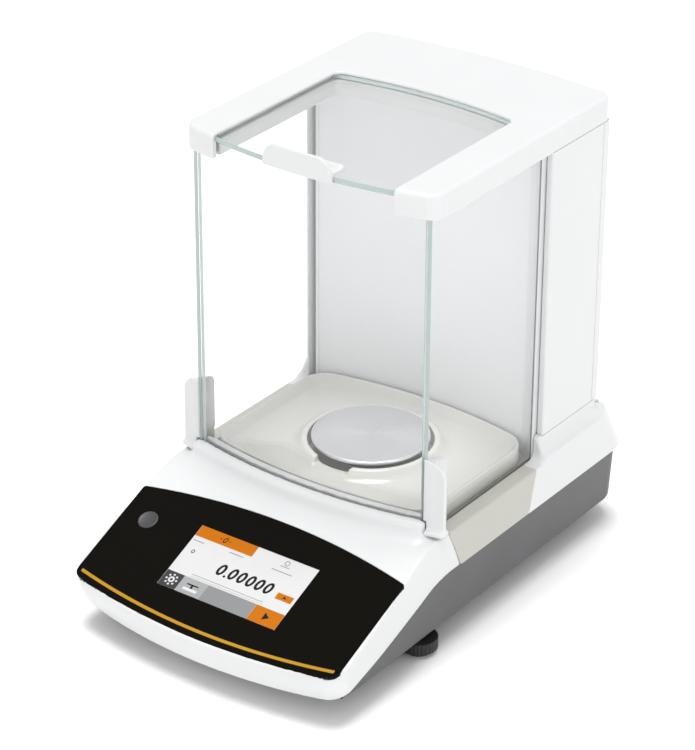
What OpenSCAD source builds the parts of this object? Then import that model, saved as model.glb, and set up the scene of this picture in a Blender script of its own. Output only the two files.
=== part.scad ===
// Analytical balance: glass weighing chamber on a wedge-shaped housing with a touch display.
// Front towards -Y, up is +Z, table top at Z = 0, millimetres.

/* [Overall] */
// Width across the housing's lower edge
body_w = 215.6; // [200:0.2:230]
// Depth, front band to rear housing
body_d = 360; // [340:1:380]
// Height of the roof's top face
roof_z = 320; // [300:1:340]

/* [Base housings] */
// Underside of the dark lower housing
base_z = 14; // [12:0.5:18]
// Height of the seam between dark and white housings
seam_z = 57; // [50:0.5:62]
// Height of the side rails beside the chamber
sill_z = 82.3; // [78:0.1:86]
// Half width at the side rails
sill_hw = 103; // [100:0.5:105]
// Height where the tower panels stand
ledge_z = 99.4; // [95:0.2:104]
// Wall thickness of the housings
wall = 2.8; // [2:0.1:4]

/* [Front panel] */
// Slope of the operating panel
panel_tilt = 22.855; // [15:0.5:30]
// Height of the panel's upper corners
panel_z = 70.3; // [65:0.5:75]
// Y of the panel's upper corners
panel_y = -94.8; // [-100:0.5:-85]
// Half width of the black panel
panel_hw = 105.1; // [95:0.5:106]
// Visible screen width
screen_w = 94.5; // [80:0.5:110]
// Visible screen height along the slope
screen_h = 52; // [40:0.5:60]
// Radius of the power button
button_r = 7; // [5:0.5:9]

/* [Weighing chamber] */
// Radius of the bowed front pane's outer face
front_r = 370; // [300:5:600]
// Y of the front pane's outer face at the middle
front_y = -63; // [-70:1:-55]
// Glass thickness
glass_t = 3; // [2:0.5:5]
// Inner face of each side door
door_x = 89; // [85:0.5:92]
// Length of each side door's glass
door_len = 132; // [120:1:132]
// Travel of each side door
door_travel = 98; // [60:1:98]
// Travel of the top door
top_travel = 110; // [60:1:115]

/* [Pan and shield plate] */
// Radius of the weighing pan
pan_r = 40; // [35:1:45]
// Height of the pan's top face
pan_z = 95.6; // [92:0.2:100]
// Y of the pan's centre
pan_y = 16; // [10:1:22]
// Half width of the shield plate
tray_hw = 87.6; // [84:0.2:88]
// Height of the shield plate's rim
tray_z = 92.8; // [90:0.2:95]

/* [Roof and tower] */
// Half width of roof and tower
tower_hw = 97.5; // [95:0.5:100]
// Y of the tower's front edges
tower_y = 75; // [70:1:80]
// Half width of the opening in the roof
roof_open_hw = 69.3; // [60:0.5:72]
// Height of the roof's skirt
roof_h = 17; // [14:1:22]

/* [Levelling feet] */
// Radius of the knurled wheel
wheel_r = 12.75; // [10:0.25:15]
// X of the wheel's axis
foot_x = 93; // [88:0.5:95]
// Y of the wheel's axis
foot_y = -60; // [-70:1:-50]
// Travel of each levelling foot
foot_travel = 4.5; // [3:0.5:8]

/* [Hidden] */
$fn = 96;
BIG = 360;
hw = body_w / 2;
y_front = -body_d / 2;
y_rear = body_d / 2;
band_z = 16.6;
tan_tilt = tan(panel_tilt);
front_c = front_y + front_r;
door_gap = 0.4;
slot_x0 = door_x - door_gap;
slot_x1 = door_x + glass_t + door_gap;
door_y0 = -52;
carrier_t = 4;
door_y1 = door_y0 + door_len;
slot_y1 = door_y1 + carrier_t + door_travel + 18;
door_z0 = 77;
door_z1 = 309;
channel_z = 76.2;
deck_z = 80;
deck_t = 4;
top_glass_z = 314.6;
top_glass_hw = 72.4;
top_glass_y1 = 84;
top_slot_y0 = -56;
top_slot_y1 = top_glass_y1 + top_travel + 6;
open_y = 78.6;
open_r = 330;
open_y0 = -120;
grip_z = roof_z + 8;
grip_hw = 26.5;
roof_z0 = roof_z - roof_h;
lip_z = 92.3;
lip_r0 = front_r - 8.4;
lip_r1 = front_r + 9;
lip_round = 8;
lip_hw = 92.4;
wall_y = 86;
wall_r = 340;
rear_bow = 600;
body_bow = 470;
front_edge_y = -42.6;
button_u = -84.9;
button_v = -22.6;
screen_v = -63.6;
screw_x = 70;
screw_y = [-40, 128];
rear_foot_x = 68;
rear_pad_y = 150;
rear_pad_r = 9;
plate_x = [-74, -4];
plate_zz = [26, 50];
level_x = -60;
level_y = 157;
magnet_y = 96;
beam_y = 36;
beam_z = 50;
lift_y = -30;
casting_z = 26.5;
spindle_r = 3;
spindle_top = base_z + 12.5 + foot_travel;
front_foot_y = -34.6;
rear_edge_y = 60.6;
rear_foot_y = 44.7;
plate_y = 172.6;
jack_r = 2.85;
tower_back_y = 154;
cream = [0.80, 0.79, 0.74];
white = [0.90, 0.91, 0.92];
steel = [0.75, 0.76, 0.78];
alu = [0.72, 0.73, 0.75];
dark = [0.20, 0.20, 0.21];
glass_c = [0.75, 0.88, 0.84, 0.35];
board_c = [0.10, 0.35, 0.20];

function sag(r, x) = r - sqrt(r * r - x * x);
function plane_z(y) = panel_z + (y - panel_y) * tan_tilt;

module slab(z0, z1) {
  translate([0, 0, z0]) linear_extrude(z1 - z0) children();
}
module side_prism(half) {
  rotate([90, 0, 90]) translate([0, 0, -half]) linear_extrude(2 * half) children();
}
module front_prism(y0, y1) {
  translate([0, y1, 0]) rotate([90, 0, 0]) linear_extrude(y1 - y0) children();
}
module both_sides() {
  children();
  mirror([1, 0, 0]) children();
}
module box(x0, x1, y0, y1, z0, z1) {
  translate([x0, y0, z0]) cube([x1 - x0, y1 - y0, z1 - z0]);
}
module rod(x, y, r, z0, z1) {
  translate([x, y, z0]) cylinder(r = r, h = z1 - z0);
}
module round_rect(h, y0, y1, r0, r1) {
  translate([-h, y0 + r0]) square([2 * h, y1 - y0 - r0 - r1]);
  translate([-h + r0, y0]) square([2 * (h - r0), r0 + 1]);
  translate([-h + r1, y1 - r1 - 1]) square([2 * (h - r1), r1 + 1]);
  for (s = [-1, 1]) {
    translate([s * (h - r0), y0 + r0]) circle(r0);
    translate([s * (h - r1), y1 - r1]) circle(r1);
  }
}
module bowed(h, yf, rf, yb, rb) {
  intersection() {
    translate([0, yf + rf]) circle(rf, $fn = BIG);
    translate([0, yb - rb]) circle(rb, $fn = BIG);
    translate([-h, -300]) square([2 * h, 600]);
  }
}
// Front and rear arcs blended into the straight sides by tangent corner arcs cf and cb.
module bowed_round(h, yf, rf, yb, rb, cf, cb) {
  xf = (h - cf) * rf / (rf - cf);
  xb = (h - cb) * rb / (rb - cb);
  cyf = yf + rf - sqrt((rf - cf) * (rf - cf) - (h - cf) * (h - cf));
  cyb = yb - rb + sqrt((rb - cb) * (rb - cb) - (h - cb) * (h - cb));
  intersection() {
    bowed(h, yf, rf, yb, rb);
    union() {
      translate([-h, cyf]) square([2 * h, cyb - cyf]);
      translate([-xf, -300]) square([2 * xf, 301 + cyf]);
      translate([-xb, cyb - 1]) square([2 * xb, 300]);
      for (s = [-1, 1]) {
        translate([s * (h - cf), cyf]) circle(cf);
        translate([s * (h - cb), cyb]) circle(cb);
      }
    }
  }
}
// Band between two radii about the front pane's centre, within half width h.
module front_band(r0, r1, h) {
  intersection() {
    translate([0, front_c]) difference() {
      circle(r1, $fn = BIG);
      circle(r0, $fn = BIG);
    }
    translate([-h, -120]) square([2 * h, 100]);
  }
}
module in_panel() {
  translate([0, panel_y, panel_z]) rotate([panel_tilt, 0, 0]) children();
}
// The curved line on the housing's side where white meets dark grey.
swoosh = [[-160, band_z], [-155.6, 20.8], [-144.2, 25.7], [-118.7, 34.9], [-92.7, 44.2],
          [-79.6, 48.9], [-73, 51.9], [-65.1, 54.6], [-55.7, 56.2], [-46, seam_z]];

module lower_housing_outline() {
  polygon(concat([[-150, base_z], [-156, band_z]], swoosh, [[190, seam_z], [190, base_z]]));
}
module lower_housing() {
  color(dark) difference() {
    intersection() {
      slab(base_z, seam_z) bowed_round(hw - 2.3, y_front + 6, body_bow, y_rear - 3, rear_bow, 12, 15);
      side_prism(hw) lower_housing_outline();
      front_prism(-200, 200) polygon([[-95, base_z], [-101.5, 19], [-103.2, 26], [-hw + 2.3, seam_z],
        [hw - 2.3, seam_z], [103.2, 26], [101.5, 19], [95, base_z]]);
    }
    intersection() {
      slab(base_z + wall, seam_z + 1)
        bowed_round(hw - wall - 3.8, y_front + 14, body_bow, y_rear - wall - 3, rear_bow, 9, 12);
      side_prism(hw) polygon([[-150, base_z + wall], [-142, 22.5], [-72, 49], [-60, 70],
        [190, 70], [190, base_z + wall]]);
      front_prism(-200, 200) polygon([[-93, base_z + wall], [-99, 26], [-101.5, 70], [101.5, 70],
        [99, 26], [93, base_z + wall]]);
    }
    both_sides() rod(foot_x, foot_y, wheel_r + 2, base_z - 1, base_z + 1.2);
    both_sides() rod(foot_x, foot_y, 6.5, base_z - 1, spindle_top + 1);
    both_sides() rod(rear_foot_x, rear_pad_y, rear_pad_r, base_z - 1, base_z + 1.5);
    rod(0, pan_y, 12, base_z - 1, base_z + wall + 1);
    for (x = [-screw_x, screw_x], y = screw_y) rod(x, y, 3.2, base_z - 1, base_z + wall + 1);
    box(plate_x[0], plate_x[1], 150, 190, plate_zz[0], plate_zz[1]);
  }
}
// Sockets in the underside that carry the levelling spindles.
module foot_bushings() {
  color(steel) both_sides() difference() {
    rod(foot_x, foot_y, 6.5, base_z + 1.2, spindle_top + 1);
    rod(foot_x, foot_y, spindle_r + 0.05, base_z, spindle_top + 2);
  }
}
module front_housing_outline() {
  polygon(concat([[front_foot_y, seam_z], [front_edge_y, sill_z],
    [panel_y + (sill_z - panel_z) / tan_tilt, sill_z], [-175, plane_z(-175)],
    [y_front - 2, plane_z(-175) - 1.5],
    [y_front - 2, 20], [-177.5, band_z]], swoosh));
}
module side_taper(inset) {
  polygon([[-hw + inset, 0], [-hw + inset, seam_z], [-sill_hw + inset, sill_z], [-sill_hw + inset, 120],
    [sill_hw - inset, 120], [sill_hw - inset, sill_z], [hw - inset, seam_z], [hw - inset, 0]]);
}
module lip_section() {
  translate([lip_r0, 60]) square([lip_r1 - lip_round - lip_r0, lip_z - 60]);
  translate([lip_r0, 60]) square([lip_r1 - lip_r0, lip_z - lip_round - 60]);
  translate([lip_r1 - lip_round, lip_z - lip_round]) circle(lip_round);
  polygon([[lip_r1 - 9, 60], [lip_r1 - 9, 84], [lip_r1 - 0.6, lip_z - 5],
    [lip_r1 + 9, 75], [lip_r1 + 9, 60]]);
}
module front_lip() {
  intersection() {
    translate([0, front_c, 0]) rotate_extrude($fn = BIG) lip_section();
    box(-lip_hw, lip_hw, -110, -20, 62, 100);
  }
}
module front_housing() {
  color(white) difference() {
    union() {
      difference() {
        intersection() {
          slab(band_z, 100) bowed_round(hw, y_front, body_bow, y_rear, rear_bow, 12, 12);
          side_prism(hw) front_housing_outline();
          front_prism(-200, 200) side_taper(0);
        }
        intersection() {
          slab(band_z - 1, 100) bowed_round(hw - wall, y_front + wall, body_bow, y_rear, rear_bow, 9, 9);
          side_prism(hw) polygon([[-20, 30], [-20, sill_z - wall], [-64, sill_z - wall],
            [-172, plane_z(-172) - 5.5], [-176, 33],
            [-176, band_z + wall], [-158, band_z + wall], [-100, 30]]);
          front_prism(-200, 200) side_taper(wall);
        }
        intersection() {
          translate([0, front_c, 60]) cylinder(r = lip_r0, h = 40, $fn = BIG);
          box(-88.4, 88.4, -70, 0, 60, 100);
        }
      }
      front_lip();
    }
    front_glass_cut();
    both_sides() box(slot_x0, slot_x1, door_y0 - 1.2, 0, channel_z, 100);
    in_panel() translate([0, 0, -2]) linear_extrude(4) panel_outline(0);
    in_panel() translate([-screen_w / 2 - 4, -75, -12]) cube([screen_w + 8, 76, 12]);
    in_panel() translate([button_u, button_v, -12]) cylinder(r = button_r + 1.5, h = 12);
  }
}
module front_glass_cut() {
  slab(lip_z - 7, 100) front_band(front_r - glass_t, front_r, 90);
}
module panel_outline(inset) {
  bowed_round(panel_hw - inset, -90.1 + inset, 540, 11.8 - inset, 490, 7, 2);
}
module stripe_outline() {
  intersection() {
    translate([0, 445.5]) difference() {
      circle(531.5, $fn = BIG);
      circle(529.2, $fn = BIG);
    }
    translate([-101.5, -100]) square([203, 100]);
  }
}
module display_panel() {
  color([0.03, 0.03, 0.035]) in_panel() difference() {
    translate([0, 0, -2]) linear_extrude(2) panel_outline(0);
    translate([0, 0, -0.4]) linear_extrude(1) stripe_outline();
    translate([-screen_w / 2, screen_v, -1.2]) cube([screen_w, screen_h, 2]);
    translate([button_u, button_v, -3]) cylinder(r = button_r + 0.4, h = 4);
  }
}
module accent_stripe() {
  color([0.85, 0.55, 0.12]) in_panel() translate([0, 0, -0.4]) linear_extrude(0.4) stripe_outline();
}
module display_screen() {
  color([0.88, 0.90, 0.92]) in_panel()
    translate([-screen_w / 2, screen_v, -1.2]) cube([screen_w, screen_h, 1.1]);
}
module display_module() {
  color(board_c) in_panel() {
    translate([-screen_w / 2 - 3, -72, -4]) cube([screen_w + 6, 70, 1.8]);
    translate([-screen_w / 2 - 2, -68, -10]) cube([screen_w + 4, 62, 1.6]);
    for (x = [-42, 42], y = [-64, -10]) translate([x, y, -9]) cylinder(r = 2.5, h = 6);
  }
}
module power_button() {
  color([0.35, 0.36, 0.37]) in_panel() translate([button_u, button_v, 0]) {
    translate([0, 0, -2.4]) cylinder(r = button_r, h = 2.6);
    translate([0, 0, -6]) cylinder(r = 3, h = 4);
  }
}
module button_switch() {
  color(dark) in_panel() translate([button_u - 6, button_v - 6, -11]) cube([12, 12, 3.6]);
}

module chamber_base() {
  color(cream) difference() {
    union() {
      intersection() {
        front_prism(front_edge_y - 5, rear_edge_y + 5) polygon([[-hw, seam_z], [-sill_hw, sill_z],
          [-slot_x1, sill_z], [-slot_x1, channel_z], [-slot_x1 + 6, deck_z - deck_t - 2],
          [slot_x1 - 6, deck_z - deck_t - 2],
          [slot_x1, channel_z], [slot_x1, sill_z], [sill_hw, sill_z], [hw, seam_z]]);
        side_prism(hw + 1) polygon([[front_foot_y, seam_z], [front_edge_y, sill_z],
          [front_edge_y, sill_z + 1],
          [rear_edge_y, sill_z + 1], [rear_edge_y, sill_z], [rear_foot_y, seam_z]]);
      }
      slab(deck_z - deck_t, deck_z) intersection() {
        translate([0, front_c]) circle(lip_r0, $fn = BIG);
        translate([-88.4, -60]) square([176.8, wall_y + 62]);
        translate([0, wall_y + 2.5 - wall_r]) circle(wall_r, $fn = BIG);
      }
      both_sides() box(88, slot_x1 + 2, front_edge_y + 2, rear_edge_y - 3, channel_z - 2.5, channel_z);
    }
    intersection() {
      front_prism(-100, 200) polygon([[-hw + wall, seam_z - 1],
        [-99.5, deck_z - deck_t - 3], [99.5, deck_z - deck_t - 3],
        [hw - wall, seam_z - 1]]);
      side_prism(hw) polygon([[-100, 50], [-100, 73], [200, 73], [200, 50]]);
    }
    both_sides() box(slot_x0, slot_x1, -80, slot_y1, channel_z, 100);
    rod(0, pan_y, 13, 60, 100);
  }
}
module load_port_ring() {
  color(dark) translate([0, pan_y, deck_z]) difference() {
    cylinder(r = 21, h = 2.2);
    translate([0, 0, -1]) cylinder(r = 13, h = 4);
  }
}
module tray_plan(inset) {
  intersection() {
    translate([0, front_c]) circle(lip_r0 - 0.4 - inset, $fn = BIG);
    translate([0, wall_y - 2 - inset - wall_r]) circle(wall_r, $fn = BIG);
    round_rect(tray_hw - inset, -60 + inset, 76.5 - inset, 13 - inset, 15 - inset);
  }
}
module shield_plate() {
  color(cream) difference() {
    union() {
      difference() {
        union() {
          slab(deck_z, tray_z - 2.4) tray_plan(0);
          slab(tray_z - 2.5, tray_z) tray_plan(1.6);
        }
        slab(86.2, 100) tray_plan(8);
        slab(deck_z - 1, 84) tray_plan(3);
      }
      translate([0, pan_y, 0]) rotate_extrude() polygon([[42.4, 82.4], [42.4, 93.4], [43.2, 94.2],
        [45.6, 94.2],
        [47, 93.2], [48.4, 91], [50.6, 88.8], [54, 87.2], [59, 86.2], [59, 84.2], [45, 84.2], [45, 82.4]]);
    }
    rod(0, pan_y, 42.4, 70, 110);
    intersection() {
      translate([0, pan_y, 88.4]) cylinder(r = 54, h = 20);
      translate([-14, pan_y - 60, 88.4]) cube([28, 30, 20]);
    }
  }
}
module weighing_pan() {
  color(steel) translate([0, pan_y, 0]) rotate_extrude() polygon([[0, pan_z - 2], [0, pan_z],
    [pan_r - 0.4, pan_z],
    [pan_r, pan_z - 0.4], [pan_r, pan_z - 2.6], [pan_r - 1, pan_z - 2.6], [pan_r - 1.4, pan_z - 1.4],
    [16, pan_z - 1.4], [10, 91], [10, 86.2], [6.05, 86.2], [6.05, pan_z - 2]]);
}
module pan_support() {
  color(alu) translate([0, pan_y, 0]) rotate_extrude() polygon([[0, 60], [0, pan_z - 2], [5.2, pan_z - 2],
    [6, 92.6], [6, 86], [9.5, 86], [9.5, 83.4], [6, 80], [6, 60]]);
}
module load_receiver() {
  color(alu) difference() {
    union() {
      box(-8, 8, pan_y - 8, pan_y + 8, 34, 60);
      box(-3, 3, pan_y + 7, pan_y + 12, 44, 50);
      both_sides() box(7, 18, pan_y - 4, pan_y + 4, 50, 55);
      both_sides() box(14, 18, pan_y - 34, pan_y + 4, 50, 55);
    }
    box(-20, 20, pan_y + 9, pan_y + 13, 46.2, 47.8);
  }
}
module cell_block() {
  color(alu) difference() {
    union() {
      box(-28, 28, 30, 92, casting_z, 62);
      both_sides() box(11, 28, 8, 34, casting_z, 40);
    }
    box(-11, 11, 0, 79, 33, 70);
    box(-30, 30, 45, 47, 30, 70);
    both_sides() box(16, 30, 60, 84, 34, 56);
    translate([-30, beam_y, beam_z]) rotate([0, 90, 0]) cylinder(r = 2.05, h = 60);
    rod(0, magnet_y - 4, 17, 26, 70);
  }
}
module magnet_pot() {
  color(steel) difference() {
    rod(0, magnet_y, 13, casting_z, 46);
    difference() {
      rod(0, magnet_y, 11, 31, 47);
      rod(0, magnet_y, 7.5, 30, 47);
    }
  }
}
module cell_beam() {
  color(alu) {
    box(-7, 7, 30, 98, 48, 52);
    box(-2, 2, 26, 31, 46.5, 47.5);
    box(-2, 2, 29, 33, 46.5, 50);
    translate([-24, beam_y, beam_z]) rotate([0, 90, 0]) cylinder(r = 2, h = 48);
    difference() {
      rod(0, magnet_y, 9.9, 38, 52);
      rod(0, magnet_y, 8.6, 37, 48);
    }
  }
}
module position_sensor() {
  color(dark) {
    box(-9, 9, 110.5, 118, casting_z, 50);
    for (x = [-9, 3]) box(x, x + 6, 108.6, 111, 46.6, 56);
  }
}
module cal_weight() {
  color([0.80, 0.66, 0.36]) translate([-22, -14, 43]) rotate([0, 90, 0]) cylinder(r = 6, h = 44);
}
module cal_carriage() {
  color(dark) difference() {
    union() {
      box(-9, 9, -38, -22, 33, 38);
      both_sides() box(5, 9, -38, -8, 33, 36.9);
    }
    rod(0, lift_y, 3.05, 30, 50);
  }
}
module cal_spindle() {
  color(steel) {
    rod(0, lift_y, 3, 31, 46);
    rod(0, lift_y, 7, 29.4, 31.2);
    rod(0, lift_y, 2, 27.2, 30);
  }
}
module cal_motor() {
  color(dark) difference() {
    union() {
      box(-14, 33, -44, -22, casting_z, 29);
      rod(23, -33, 9, 28, 50);
    }
    rod(0, lift_y, 2.05, 26, 30);
  }
}
module base_casting() {
  color(alu) difference() {
    union() {
      box(-84, 84, -52, 140, 20.5, casting_z);
      for (x = [-78, 78]) box(x - 3, x + 3, -50, 138, casting_z, 34);
      for (y = [-48, 136]) box(-80, 80, y - 3, y + 3, casting_z, 32);
      for (x = [-screw_x, screw_x], y = screw_y) rod(x, y, 5, base_z + wall, 22);
    }
    rod(0, pan_y, 14, 10, 30);
    for (x = [-screw_x, screw_x], y = screw_y) rod(x, y, 1.6, 10, 40);
  }
}
module hook_cover() {
  color(dark) {
    rod(0, pan_y, 11.8, base_z + 0.6, base_z + wall);
    rod(0, pan_y, 13.5, base_z + wall, base_z + wall + 1.2);
  }
}
module main_board() {
  color(board_c) {
    box(-76, -36, -30, 120, 36, 37.6);
    for (y = [-22, 112], x = [-72, -42]) rod(x, y, 2.5, casting_z, 36);
    for (y = [0, 34, 70]) box(-68, -50, y, y + 18, 37.6, 40.5);
    for (y = [2, 90]) rod(-44, y, 5, 37.6, 50);
  }
}
module base_screws() {
  color(steel) for (x = [-screw_x, screw_x], y = screw_y) {
    rod(x, y, 3.2, base_z - 0.8 + 1.4, base_z + wall);
    rod(x, y, 1.55, base_z + wall, 32);
  }
}

module rear_section() {
  polygon([[300, seam_z], [rear_bow, seam_z], [rear_bow - 10, sill_z], [rear_bow - 11.5, 86],
    [rear_bow - 14, 88], [rear_bow - 24.5, 91], [rear_bow - 26, 93], [rear_bow - 26, ledge_z],
    [300, ledge_z]]);
}
module rear_taper(inset) {
  polygon([[-hw + inset, seam_z - 1], [-sill_hw + inset, sill_z], [-tower_hw + inset, 91],
    [-tower_hw + inset, ledge_z + 1], [tower_hw - inset, ledge_z + 1], [tower_hw - inset, 91],
    [sill_hw - inset, sill_z], [hw - inset, seam_z - 1]]);
}
module rear_housing() {
  color(white) difference() {
    intersection() {
      translate([0, y_rear - rear_bow, 0]) rotate_extrude($fn = BIG) rear_section();
      slab(seam_z, ledge_z) bowed_round(hw, -100, rear_bow, y_rear + 0.5, rear_bow + 0.5, 5, 16);
      front_prism(0, 200) rear_taper(0);
      side_prism(hw + 2) polygon([[rear_foot_y, seam_z], [rear_edge_y, sill_z], [tower_y - 4, 90],
        [tower_y, ledge_z], [200, ledge_z], [200, seam_z]]);
    }
    // hollow for the chassis below the ledge
    intersection() {
      slab(seam_z - 1, 76) round_rect(hw - 6, -100, y_rear - 14, 5, 12);
      front_prism(0, 200) polygon([[-hw + wall, seam_z - 2], [-100, 76], [100, 76], [hw - wall, seam_z - 2]]);
    }
    // hollow inside the tower's foot
    slab(deck_z, ledge_z + 1) intersection() {
      translate([-85, 60]) square([170, 85]);
      translate([0, tower_back_y - 4 - rear_bow]) circle(rear_bow, $fn = BIG);
    }
    // the chamber side of the wall
    slab(deck_z - deck_t, 120) intersection() {
      translate([-88.4, 30]) square([176.8, 100]);
      translate([0, wall_y + 2.5 - wall_r]) circle(wall_r, $fn = BIG);
    }
    both_sides() box(86.4, slot_x0, tower_y - 1, tower_y + 6, deck_z, ledge_z + 1);
    // channels that the side doors run in
    both_sides() box(slot_x0, slot_x1, 0, slot_y1, channel_z, 120);
    rod(level_x, level_y, 8.2, 84.6, 100);
  }
}
module side_panel_plan() {
  intersection() {
    bowed_round(tower_hw, -100, 600, tower_back_y, rear_bow, 5, 8);
    translate([slot_x1, tower_y]) square([20, 100]);
  }
}
module tower_side(s) {
  mirror([s < 0 ? 1 : 0, 0, 0]) difference() {
    slab(ledge_z, roof_z0) difference() {
      side_panel_plan();
      translate([tower_hw - 0.5, 135.5]) square([1, 0.7]);
      difference() {
        translate([tower_hw - 3, tower_y - 1]) square([4, 4]);
        translate([tower_hw - 3, tower_y + 3]) circle(3);
      }
    }
  }
}
module tower_side_right() { color(white) tower_side(1); }
module tower_side_left() { color(white) tower_side(-1); }
module tower_back() {
  color(white) difference() {
    slab(ledge_z, roof_z0) intersection() {
      translate([0, tower_back_y - rear_bow]) difference() {
        circle(rear_bow, $fn = BIG);
        circle(rear_bow - 3, $fn = BIG);
      }
      translate([-slot_x0, 100]) square([2 * slot_x0, 100]);
    }
    for (z = [130:12:178]) box(-24, 24, 140, 160, z, z + 4);
  }
}
module rear_wall() {
  color([0.80, 0.81, 0.83]) slab(deck_z, roof_z0) intersection() {
    translate([0, wall_y - wall_r]) difference() {
      circle(wall_r + 2.5, $fn = BIG);
      circle(wall_r, $fn = BIG);
    }
    translate([-86.4, 50]) square([172.8, 50]);
  }
}
module wall_seals() {
  color([0.70, 0.71, 0.72]) both_sides() box(86.4, slot_x0, tower_y - 1, tower_y + 6, deck_z, roof_z0);
}
module roof_plan() {
  bowed_round(tower_hw, front_y - 4.5, front_r, tower_back_y, rear_bow, 8, 8);
}
module roof_opening_plan() {
  bowed_round(roof_open_hw, open_y0, rear_bow, open_y, open_r, 5, 5);
}
module roof_frame() {
  color(white) difference() {
    intersection() {
      slab(roof_z0, roof_z) roof_plan();
      front_prism(-200, 200) polygon([[-tower_hw, roof_z0], [-tower_hw, roof_z - 5],
        [-tower_hw + 1, roof_z - 1.6],
        [-tower_hw + 3, roof_z], [tower_hw - 3, roof_z], [tower_hw - 1, roof_z - 1.6],
        [tower_hw, roof_z - 5], [tower_hw, roof_z0]]);
    }
    slab(roof_z0 - 1, roof_z + 1) roof_opening_plan();
    box(-top_glass_hw - 0.3, top_glass_hw + 0.3, top_slot_y0, top_slot_y1,
      top_glass_z - 0.4, top_glass_z + glass_t + 0.4);
    slab(roof_z0 - 1, door_z1 + 0.8) intersection() {
      translate([-84, 95]) square([168, 60]);
      translate([0, tower_back_y - 4 - rear_bow]) circle(rear_bow, $fn = BIG);
    }
    both_sides() box(slot_x0, slot_x1, door_y0 - 1.2, slot_y1, roof_z0 - 1, door_z1 + 0.8);
    slab(roof_z0 - 1, 313.6) front_band(front_r - glass_t, front_r, 88.4);
  }
}
module front_glass() {
  color(glass_c) union() {
    slab(lip_z - 7, 313.6) front_band(front_r - glass_t, front_r, 88.2);
  }
}
module door_glass(s) {
  color(glass_c) mirror([s < 0 ? 1 : 0, 0, 0])
    box(door_x, door_x + glass_t, door_y0, door_y0 + door_len, door_z0, door_z1);
}
module right_door_glass() { door_glass(1); }
module left_door_glass() { door_glass(-1); }
module handle_plan() {
  intersection() {
    translate([door_x + glass_t, -53]) square([14, 16]);
    union() {
      translate([door_x + glass_t, -53]) square([14, 3.2]);
      translate([door_x + glass_t, -53]) square([2.4, 16]);
      difference() {
        translate([door_x + glass_t, -52]) square([11, 12]);
        translate([door_x + glass_t + 11.8, -39.5]) circle(9.8);
      }
    }
  }
}
module handle_front() {
  x0 = door_x + glass_t;
  translate([x0, 84]) square([14, 38]);
  translate([x0, 120]) square([2, 19]);
  intersection() {
    translate([x0 - 4, 121]) circle(18);
    translate([x0, 110]) square([14, 40]);
  }
}
module door_handle(s) {
  color(white) mirror([s < 0 ? 1 : 0, 0, 0]) {
    intersection() {
      slab(84, 140) handle_plan();
      front_prism(-60, -20) handle_front();
    }
    box(door_x + glass_t + 0.8, door_x + glass_t + 14, -58, -50, 84, 91);
  }
}
module right_door_handle() { door_handle(1); }
module left_door_handle() { door_handle(-1); }
// Runner under the glass and closing strip along its rear edge, in one piece.
module door_carrier(s) {
  color(white) mirror([s < 0 ? 1 : 0, 0, 0]) {
    box(door_x + 0.2, door_x + glass_t - 0.2, -44, door_y1, channel_z + 0.1, door_z0);
    box(door_x + 0.2, door_x + glass_t - 0.2, door_y1, door_y1 + carrier_t, channel_z + 0.1, door_z1);
  }
}
module right_door_carrier() { door_carrier(1); }
module left_door_carrier() { door_carrier(-1); }
module top_door_glass() {
  color(glass_c) difference() {
    slab(top_glass_z, top_glass_z + glass_t) intersection() {
      translate([0, front_c]) circle(front_r + 1.4, $fn = BIG);
      translate([0, open_y + 1 - open_r]) circle(open_r, $fn = BIG);
      translate([-top_glass_hw, -70]) square([2 * top_glass_hw, 70 + top_glass_y1]);
    }
    both_sides() box(roof_open_hw - 0.5, 80, -70, top_slot_y0 + 1, 300, 330);
  }
}
module grip_front(top) {
  r = 8;
  translate([-grip_hw, 311.5]) square([2 * grip_hw, top - r - 311.5]);
  translate([r - grip_hw, 311.5]) square([2 * (grip_hw - r), top - 311.5]);
  for (s = [-1, 1]) translate([s * (grip_hw - r), top - r]) circle(r);
}
module top_door_handle() {
  color(white) {
    intersection() {
      slab(300, 340) front_band(front_r + 1.4, front_r + 4, 40);
      front_prism(-80, -40) grip_front(grip_z);
    }
    slab(top_glass_z + glass_t, top_glass_z + glass_t + 1.4)
      front_band(front_r - 11.6, front_r + 1.6, grip_hw);
    intersection() {
      slab(top_glass_z + glass_t, 340) front_band(front_r - 11.6, front_r - 9.2, 40);
      front_prism(-80, -40) grip_front(grip_z - 3);
    }
  }
}
// Strip behind the top glass, with a runner under each side of it.
module top_door_carrier() {
  color(white) {
    slab(top_glass_z, top_glass_z + glass_t) difference() {
      translate([-top_glass_hw, 60]) square([2 * top_glass_hw, top_glass_y1 - 60]);
      translate([0, open_y + 1 - open_r]) circle(open_r, $fn = BIG);
    }
    for (x = [-70.6, 69.8]) box(x, x + 0.8, 0, 60, top_glass_z - 0.3, top_glass_z);
  }
}

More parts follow.
